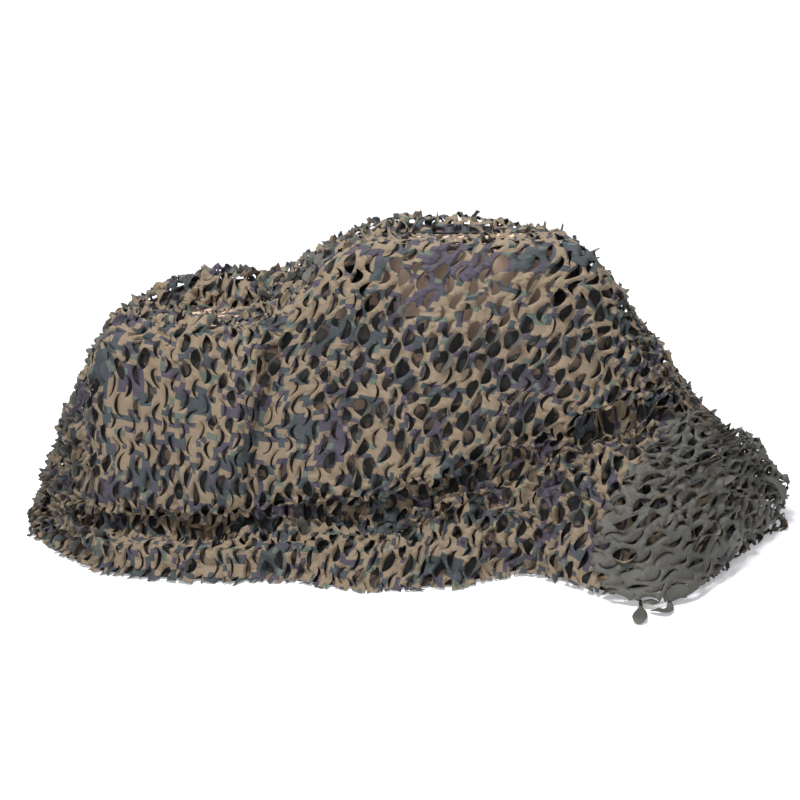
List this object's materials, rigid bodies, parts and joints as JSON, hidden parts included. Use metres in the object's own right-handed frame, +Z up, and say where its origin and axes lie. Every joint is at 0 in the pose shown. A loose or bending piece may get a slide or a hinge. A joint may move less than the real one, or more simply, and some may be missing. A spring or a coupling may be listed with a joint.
{
  "type": "camouflage net draped over two cartons",
  "caption": "Die-cut camouflage net thrown over a low and a tall carton, falling to the floor in folds, with its right-hand end turned over to show the plain reverse.",
  "frame": {"origin": "on the floor, under the middle of the net's footprint", "axes": "+X along the net's length towards the end that is turned over, -Y towards the front with the turned-over flap, +Z up"},
  "size_m": [2.0003, 1.0612, 0.7996],
  "materials": {
    "camouflage": "matt woven net cloth, printed in brown, green and grey-violet blocks, with a plain olive-grey reverse",
    "kraft_board": "plain brown corrugated board"
  },
  "bodies": {
    "root": {"net": "camouflage", "carton_low": "kraft_board", "carton_tall": "kraft_board"}
  },
  "joints": []
}
